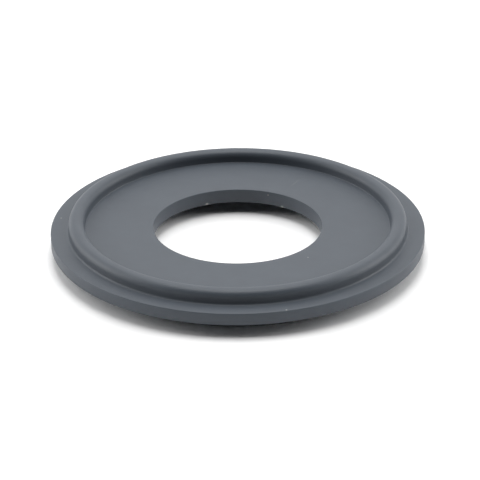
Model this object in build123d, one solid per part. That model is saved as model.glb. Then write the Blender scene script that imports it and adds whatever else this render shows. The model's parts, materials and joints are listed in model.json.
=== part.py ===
from build123d import *
import math
import os

# Sanitary clamp gasket: one moulded elastomer ring for two clamped ferrules.
# Millimetres, +Z along the bore. The origin is the ring's centre, half way
# through its thickness, so the ring is the same above and below z = 0.

# Driving dimensions.
OUTER_D = 50.5          # clamp flange size, the ring's outer diameter
BORE_D = 22.8           # passes the tube's full bore
WEB_T = 1.95            # flat web between the bore and the bead
RIM_T = 1.65            # rim outside the bead, thinner than the web
BEAD_CIRCLE_D = 43.5    # pitch circle of the bead that sits in the ferrule groove
BEAD_W = 2.25           # bead width across its foot on the web
BEAD_DRAFT = 13.0       # degrees that the bead's flanks lean in, for demoulding
OVERALL_T = 5.2         # crest of the upper bead to crest of the lower one


def bead_crown():
    """Ends and crest of the round crown, tangent to both leaning flanks."""
    draft = math.radians(BEAD_DRAFT)
    height = (OVERALL_T - WEB_T) / 2
    # The crown's centre is as far from each flank as from the crest.
    flank_reach = BEAD_W / 2 * math.cos(draft) - height * math.sin(draft)
    radius = flank_reach / (1 - math.sin(draft))
    pitch_r = BEAD_CIRCLE_D / 2
    crest_z = OVERALL_T / 2
    end_z = crest_z - radius + radius * math.sin(draft)
    half_width = radius * math.cos(draft)
    return (pitch_r - half_width, end_z), (pitch_r, crest_z), (pitch_r + half_width, end_z)


def flank_foot(crown_end, level):
    """Where the flank below an end of the crown meets the web or the rim."""
    outward = 1 if crown_end[0] > BEAD_CIRCLE_D / 2 else -1
    lean = (crown_end[1] - level) * math.tan(math.radians(BEAD_DRAFT))
    return crown_end[0] + outward * lean, level


def upper_half():
    """Half section above the middle plane, from the bore out to the rim."""
    web_z, rim_z = WEB_T / 2, RIM_T / 2
    bore_r, rim_r = BORE_D / 2, OUTER_D / 2
    inner_end, crest, outer_end = bead_crown()
    with BuildLine() as outline:
        Polyline((bore_r, 0), (bore_r, web_z), flank_foot(inner_end, web_z), inner_end)
        ThreePointArc(inner_end, crest, outer_end)
        Polyline(outer_end, flank_foot(outer_end, rim_z), (rim_r, rim_z), (rim_r, 0))
    return outline.line


def section():
    """Whole section: the upper half and its mirror image below."""
    with BuildSketch(Plane.XZ) as sketch:
        with BuildLine():
            add(upper_half())
            mirror(about=Plane.XZ)
        make_face()
    return sketch.sketch


def make_gasket():
    gasket = revolve(section(), axis=Axis.Z)
    gasket.label = "gasket"
    return gasket


os.makedirs("parts", exist_ok=True)
gasket = make_gasket()
export_step(gasket, "parts/gasket.step")
print("gasket volume mm3", round(gasket.volume, 1), "box", gasket.bounding_box().size)
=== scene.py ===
import json
import math

import bmesh
import bpy
from mathutils import Matrix, Vector


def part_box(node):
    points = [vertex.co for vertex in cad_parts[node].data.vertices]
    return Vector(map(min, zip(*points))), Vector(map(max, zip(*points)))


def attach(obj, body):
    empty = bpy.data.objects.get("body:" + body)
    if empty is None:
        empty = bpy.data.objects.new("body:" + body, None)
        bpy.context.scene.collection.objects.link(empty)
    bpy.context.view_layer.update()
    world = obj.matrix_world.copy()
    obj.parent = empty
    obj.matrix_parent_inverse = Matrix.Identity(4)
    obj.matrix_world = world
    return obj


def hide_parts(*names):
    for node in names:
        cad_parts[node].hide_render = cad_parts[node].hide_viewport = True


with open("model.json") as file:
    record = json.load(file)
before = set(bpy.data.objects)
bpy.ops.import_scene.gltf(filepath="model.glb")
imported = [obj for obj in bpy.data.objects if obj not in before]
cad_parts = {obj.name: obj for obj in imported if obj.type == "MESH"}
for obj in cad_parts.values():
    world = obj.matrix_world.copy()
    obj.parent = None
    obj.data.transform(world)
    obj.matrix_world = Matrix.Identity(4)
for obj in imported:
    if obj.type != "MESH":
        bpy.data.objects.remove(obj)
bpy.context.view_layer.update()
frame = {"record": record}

# A sanitary clamp gasket lying on its lower bead on white paper.
# Metres, +Z along the bore, origin at the ring's centre, as in the frame.

MM = 0.001
low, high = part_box("gasket")
mounts = {mount["name"]: mount for mount in frame["record"]["mounts"]}

# Sizes from the frame.
RIM_R = high[0]
RIM_Z = mounts["rim"]["dims"]["length_mm"] * MM / 2
BORE_R = mounts["bore"]["dims"]["r_mm"] * MM
WEB_Z = mounts["bore"]["dims"]["length_mm"] * MM / 2
PITCH_R = mounts["bead_top"]["pos_m"][0]
CREST_Z = high[2]
FLOOR_Z = low[2]

# The bead is as wide at its foot as the solid's. Its flanks are a little steeper
# and its crown a little fuller, and the feet and edges are rounded as moulded.
BEAD_W = 2.25 * MM
DRAFT = math.radians(5)
CROWN_FULLNESS = 2.4    # 2 is a round crown, more is fuller at the shoulders
INNER_FOOT_R = 0.12 * MM
OUTER_FOOT_R = 0.3 * MM
BORE_BREAK = 0.06 * MM
RIM_BREAK = 0.1 * MM

# How finely the ring's mesh is cut.
TURNS = 480
CROWN_STEPS = 28
CORNER_STEPS = 5
LONGEST_STEP = 0.9 * MM
SHARP_ANGLE = math.radians(35)

# A small nick in the crest of the upper bead, behind.
NICK_AZIMUTH = math.radians(90.8)
NICK_REACH = 0.22 * MM
NICK_DEPTH = 0.1 * MM

# Pale nibs, specks and one scuff: azimuth in degrees, radius, height, length along
# the radius, width, and how strongly the pale colour shows.
PALE_MARKS = {
    "bore_nib_left": (112, BORE_R, 0.05 * MM - WEB_Z, 0.35 * MM, 0.6 * MM, 0.8),
    "bore_nib_right": (57, BORE_R, 0.05 * MM - WEB_Z, 0.35 * MM, 0.5 * MM, 0.8),
    "bore_wall_speck": (68, BORE_R, WEB_Z / 2, 0.3 * MM, 0.25 * MM, 0.35),
    "web_speck": (-47, 13.5 * MM, WEB_Z, 0.3 * MM, 0.2 * MM, 0.4),
    "rim_speck": (-76, RIM_R - 0.25 * MM, RIM_Z, 0.35 * MM, 0.3 * MM, 0.5),
    "rim_speck_left": (173, RIM_R - 1 * MM, RIM_Z, 0.3 * MM, 0.3 * MM, 0.35),
    "bead_speck_left": (158, PITCH_R - 0.9 * MM, 1.8 * MM, 0.3 * MM, 0.25 * MM, 0.35),
    "web_scuff": (59, 15.7 * MM, WEB_Z, 3.4 * MM, 0.35 * MM, 0.04),
}


# The compound: slate grey, matt, with a soft mottle and a fine grain.
SLATE_DARK, SLATE_PALE = (0.051, 0.061, 0.075), (0.056, 0.067, 0.082)
MARK_PALE = (0.5, 0.5, 0.48)
MOTTLE_SCALE = 420
GRAIN_SCALE = 5200
GRAIN_DEPTH = 0.02 * MM
PAPER_DARK, PAPER_PALE = (0.92, 0.92, 0.92), (0.94, 0.94, 0.94)
PAPER_SCALE = 900
PAPER_REACH = 1.5

# The camera stands in front, a little above the ring, and looks at its centre.
CAMERA_DISTANCE = 313.3 * MM
CAMERA_ELEVATION = math.radians(26.0)
CAMERA_ROLL = math.radians(-0.437)
CAMERA_LENS = 173.5
CAMERA_SENSOR = 36
CAMERA_SHIFT = (0.0047, -0.0174)


# ---------------------------------------------------------------- helpers

def arc(start, centre, sweep, steps):
    """Points of an arc from start about centre, start included."""
    radius = math.dist(start, centre)
    first = math.atan2(start[1] - centre[1], start[0] - centre[0])
    turns = [first + sweep * i / steps for i in range(steps + 1)]
    return [(centre[0] + radius * math.cos(a), centre[1] + radius * math.sin(a)) for a in turns]


def full_arc(start, centre, sweep, steps):
    """An arc that swells by CROWN_FULLNESS between level and upright."""
    points = []
    for x, y in arc(start, centre, sweep, steps):
        along, up = x - centre[0], y - centre[1]
        reach = math.hypot(along, up)
        power = abs(along / reach) ** CROWN_FULLNESS + abs(up / reach) ** CROWN_FULLNESS
        swell = power ** (-1 / CROWN_FULLNESS)
        points.append((centre[0] + along * swell, centre[1] + up * swell))
    return points


def rounded(before_point, corner, after_point, radius):
    """Points of the small arc that rounds a corner."""
    corner = Vector(corner)
    a = (Vector(before_point) - corner).normalized()
    b = (Vector(after_point) - corner).normalized()
    half = a.angle(b) / 2
    reach = radius / math.tan(half)
    centre = corner + (a + b).normalized() * (radius / math.sin(half))
    start = corner + a * reach
    cross = a.x * b.y - a.y * b.x
    sweep = (math.pi - 2 * half) * (1 if cross < 0 else -1)
    return arc(start, centre, sweep, CORNER_STEPS)


def spread(points, step):
    """Adds points along the long lines so that fine detail has vertices."""
    dense = [points[0]]
    for a, b in zip(points, points[1:]):
        parts = max(1, round(math.dist(a, b) / step))
        dense += [(a[0] + (b[0] - a[0]) * i / parts, a[1] + (b[1] - a[1]) * i / parts)
                  for i in range(1, parts + 1)]
    return dense


def upper_section():
    """Upper half of the section from the bore's middle to the rim's middle."""
    lean = (CREST_Z - WEB_Z) * math.sin(DRAFT)
    crown = (BEAD_W / 2 * math.cos(DRAFT) - lean) / (1 - math.sin(DRAFT))
    out, up = crown * math.cos(DRAFT), crown * math.sin(DRAFT)
    centre = (PITCH_R, CREST_Z - crown)
    inner_top = (PITCH_R - out, centre[1] + up)
    outer_top = (PITCH_R + out, centre[1] + up)
    inner_foot = (inner_top[0] - (inner_top[1] - WEB_Z) * math.tan(DRAFT), WEB_Z)
    outer_foot = (outer_top[0] + (outer_top[1] - RIM_Z) * math.tan(DRAFT), RIM_Z)
    bore_top, rim_top = (BORE_R, WEB_Z), (RIM_R, RIM_Z)
    crown_arc = full_arc(inner_top, centre, 2 * DRAFT - math.pi, CROWN_STEPS)
    return (
        [(BORE_R, 0)]
        + rounded((BORE_R, 0), bore_top, inner_foot, BORE_BREAK)
        + rounded(bore_top, inner_foot, inner_top, INNER_FOOT_R)
        + crown_arc
        + rounded(outer_top, outer_foot, rim_top, OUTER_FOOT_R)
        + rounded(outer_foot, rim_top, (RIM_R, 0), RIM_BREAK)
        + [(RIM_R, 0)]
    )


# ---------------------------------------------------------------- the ring

def nick(angle, r, z):
    """How far the nick lowers a point of the ring."""
    if z < CREST_Z / 2:
        return 0
    along = (angle - NICK_AZIMUTH) * r / NICK_REACH
    across = (r - PITCH_R) / NICK_REACH
    return NICK_DEPTH * math.exp(-along ** 2 - across ** 2)


def turned_points(section, turn):
    """The section's points at one turn of the ring, with the nick taken out."""
    angle = 2 * math.pi * turn / TURNS
    return [(r * math.cos(angle), r * math.sin(angle), z - nick(angle, r, z)) for r, z in section]


def turned_mesh(name, section):
    """A closed mesh turned about the bore from a closed section."""
    bm = bmesh.new()
    rings = [[bm.verts.new(point) for point in turned_points(section, turn)] for turn in range(TURNS)]
    count = len(section)
    for turn in range(TURNS):
        here, there = rings[turn], rings[(turn + 1) % TURNS]
        for i in range(count):
            j = (i + 1) % count
            bm.faces.new((here[i], there[i], there[j], here[j]))
    bmesh.ops.recalc_face_normals(bm, faces=bm.faces)
    mesh = bpy.data.meshes.new(name)
    bm.to_mesh(mesh)
    bm.free()
    mesh.shade_smooth()
    mesh.set_sharp_from_angle(angle=SHARP_ANGLE)
    return mesh


def make_ring():
    """The moulded ring, the same below as above."""
    upper = spread(upper_section(), LONGEST_STEP)
    lower = [(r, -z) for r, z in reversed(upper[1:-1])]
    mesh = turned_mesh("gasket_moulding", upper + lower)
    ring = bpy.data.objects.new("gasket_moulding", mesh)
    bpy.context.scene.collection.objects.link(ring)
    return ring


# ---------------------------------------------------------------- materials

def nodes_of(material):
    """The nodes and links of a new node material."""
    material.use_nodes = True
    return material.node_tree.nodes, material.node_tree.links


def noise_tone(nodes, links, scale, dark, pale):
    """A noise in the object's own space that moves between two colours."""
    place = nodes.new("ShaderNodeTexCoord")
    noise = nodes.new("ShaderNodeTexNoise")
    noise.inputs["Scale"].default_value = scale
    noise.inputs["Detail"].default_value = 5
    links.new(place.outputs["Object"], noise.inputs["Vector"])
    tone = nodes.new("ShaderNodeValToRGB")
    for element, position, colour in zip(tone.color_ramp.elements, (0.3, 0.7), (dark, pale)):
        element.position = position
        element.color = (*colour, 1)
    links.new(noise.outputs["Fac"], tone.inputs["Fac"])
    return tone.outputs["Color"]


def blend(nodes, links, under, colour, mask):
    """Lays a colour over another where the mask says."""
    mix = nodes.new("ShaderNodeMix")
    mix.data_type = "RGBA"
    links.new(mask, mix.inputs["Factor"])
    links.new(under, mix.inputs["A"])
    mix.inputs["B"].default_value = (*colour, 1)
    return mix.outputs["Result"]


def fade(nodes, links, distance, zero_at, full_at, most):
    """A mask that grows to most as the distance falls from zero_at to full_at."""
    ramp = nodes.new("ShaderNodeMapRange")
    ramp.inputs["From Min"].default_value = zero_at
    ramp.inputs["From Max"].default_value = full_at
    ramp.inputs["To Max"].default_value = most
    links.new(distance, ramp.inputs["Value"])
    return ramp.outputs["Result"]


def mark_mask(nodes, links, azimuth, radius, height, length, width, strength):
    """Mask of one small mark on the ring's surface."""
    turn = math.radians(azimuth)
    place = nodes.new("ShaderNodeTexCoord")
    local = nodes.new("ShaderNodeMapping")
    local.vector_type = "TEXTURE"
    centre = (radius * math.cos(turn), radius * math.sin(turn), height)
    local.inputs["Location"].default_value = centre
    local.inputs["Rotation"].default_value = (0, 0, turn)
    local.inputs["Scale"].default_value = (length / 2, width / 2, width / 2)
    links.new(place.outputs["Object"], local.inputs["Vector"])
    reach = nodes.new("ShaderNodeVectorMath")
    reach.operation = "LENGTH"
    links.new(local.outputs["Vector"], reach.inputs[0])
    return fade(nodes, links, reach.outputs["Value"], 1, 0.4, strength)


def grain_bump(nodes, links, shader):
    """The fine grain of the mould's face."""
    place = nodes.new("ShaderNodeTexCoord")
    grain = nodes.new("ShaderNodeTexNoise")
    grain.inputs["Scale"].default_value = GRAIN_SCALE
    grain.inputs["Detail"].default_value = 4
    links.new(place.outputs["Object"], grain.inputs["Vector"])
    bump = nodes.new("ShaderNodeBump")
    bump.inputs["Strength"].default_value = 0.12
    bump.inputs["Distance"].default_value = GRAIN_DEPTH
    links.new(grain.outputs["Fac"], bump.inputs["Height"])
    links.new(bump.outputs["Normal"], shader.inputs["Normal"])


def elastomer_material():
    """Matt slate-grey rubber with its small pale marks."""
    material = bpy.data.materials.new("slate_elastomer")
    nodes, links = nodes_of(material)
    shader = nodes["Principled BSDF"]
    colour = noise_tone(nodes, links, MOTTLE_SCALE, SLATE_DARK, SLATE_PALE)
    for mark in PALE_MARKS.values():
        colour = blend(nodes, links, colour, MARK_PALE, mark_mask(nodes, links, *mark))
    links.new(colour, shader.inputs["Base Color"])
    grain_bump(nodes, links, shader)
    shader.inputs["Roughness"].default_value = 0.5
    shader.inputs["Specular IOR Level"].default_value = 0.4
    return material


def paper_material():
    """White paper with a faint unevenness."""
    material = bpy.data.materials.new("white_paper")
    nodes, links = nodes_of(material)
    shader = nodes["Principled BSDF"]
    tone = noise_tone(nodes, links, PAPER_SCALE, PAPER_DARK, PAPER_PALE)
    links.new(tone, shader.inputs["Base Color"])
    shader.inputs["Roughness"].default_value = 0.9
    shader.inputs["Specular IOR Level"].default_value = 0.0
    return material


# ---------------------------------------------------------------- the stage

def make_floor():
    """The sheet of paper under the ring's lower bead."""
    mesh = bpy.data.meshes.new("paper")
    ways = [(-1, -1), (1, -1), (1, 1), (-1, 1)]
    corners = [(PAPER_REACH * x, PAPER_REACH * y) for x, y in ways]
    mesh.from_pydata([(x, y, FLOOR_Z) for x, y in corners], [], [(0, 1, 2, 3)])
    floor = bpy.data.objects.new("paper", mesh)
    bpy.context.scene.collection.objects.link(floor)
    floor.data.materials.append(paper_material())


def make_soft_box(name, place, side, watts):
    """One square soft box that looks at the ring."""
    lamp = bpy.data.lights.new(name, "AREA")
    lamp.size = side
    lamp.energy = watts
    box = bpy.data.objects.new(name, lamp)
    box.location = place
    box.rotation_euler = (-box.location).to_track_quat("-Z", "Y").to_euler()
    bpy.context.scene.collection.objects.link(box)


def wall_strength(nodes, links, axes, axis, dark, bright, strength):
    """How bright one wall is in each direction."""
    wall = nodes.new("ShaderNodeMapRange")
    wall.interpolation_type = "SMOOTHSTEP"
    wall.inputs["From Min"].default_value = dark
    wall.inputs["From Max"].default_value = bright
    wall.inputs["To Max"].default_value = strength
    links.new(axes.outputs[axis], wall.inputs["Value"])
    return wall.outputs["Result"]


def make_soft_boxes():
    """One box overhead, one high behind, and a high and a low one at each side."""
    make_soft_box("overhead_box", (0, 0.05, 0.6), side=0.3, watts=2.1)
    make_soft_box("back_box", (0, 0.35, 0.5), side=0.3, watts=0.5)
    for name, way in (("left", -1), ("right", 1)):
        make_soft_box(f"{name}_box", (0.55 * way, 0.1, 0.4), side=0.5, watts=1.8)
        make_soft_box(f"{name}_low_box", (0.6 * way, 0.05, 0.15), side=0.3, watts=1.2)


def make_room():
    """A room whose wall behind is bright and whose horizon glows a little."""
    world = bpy.context.scene.world or bpy.data.worlds.new("room")
    bpy.context.scene.world = world
    world.use_nodes = True
    nodes, links = world.node_tree.nodes, world.node_tree.links
    background = nodes["Background"]
    background.inputs["Color"].default_value = (1, 1, 1, 1)
    direction = nodes.new("ShaderNodeTexCoord")
    axes = nodes.new("ShaderNodeSeparateXYZ")
    links.new(direction.outputs["Generated"], axes.inputs["Vector"])
    behind = wall_strength(nodes, links, axes, "Y", dark=-0.3, bright=0.8, strength=1.2)
    horizon = wall_strength(nodes, links, axes, "Z", dark=0.4, bright=0.0, strength=0.3)
    both = nodes.new("ShaderNodeMath")
    both.operation = "ADD"
    links.new(behind, both.inputs[0])
    links.new(horizon, both.inputs[1])
    links.new(both.outputs["Value"], background.inputs["Strength"])


def camera_turn(place):
    """The rotation that looks from place at the ring's centre, with a small roll."""
    forward = -place.normalized()
    level = Vector((1, 0, 0))
    up = level.cross(forward)
    right = level * math.cos(CAMERA_ROLL) + up * math.sin(CAMERA_ROLL)
    up = right.cross(forward)
    return Matrix((right, up, -forward)).transposed().to_4x4()


def make_camera():
    """A long lens in front of the ring and a little above it."""
    data = bpy.data.cameras.new("camera")
    data.sensor_width = CAMERA_SENSOR
    data.lens = CAMERA_LENS
    data.shift_x, data.shift_y = CAMERA_SHIFT
    data.clip_start = 10 * MM
    place = Vector((0, -math.cos(CAMERA_ELEVATION), math.sin(CAMERA_ELEVATION))) * CAMERA_DISTANCE
    camera = bpy.data.objects.new("camera", data)
    camera.matrix_world = Matrix.Translation(place) @ camera_turn(place)
    bpy.context.scene.collection.objects.link(camera)
    bpy.context.scene.camera = camera


# ---------------------------------------------------------------- assembly

ring = make_ring()
ring.data.materials.append(elastomer_material())
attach(ring, "root")
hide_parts("gasket")

make_floor()
make_room()
make_soft_boxes()
make_camera()
bpy.context.scene.view_settings.view_transform = "Standard"
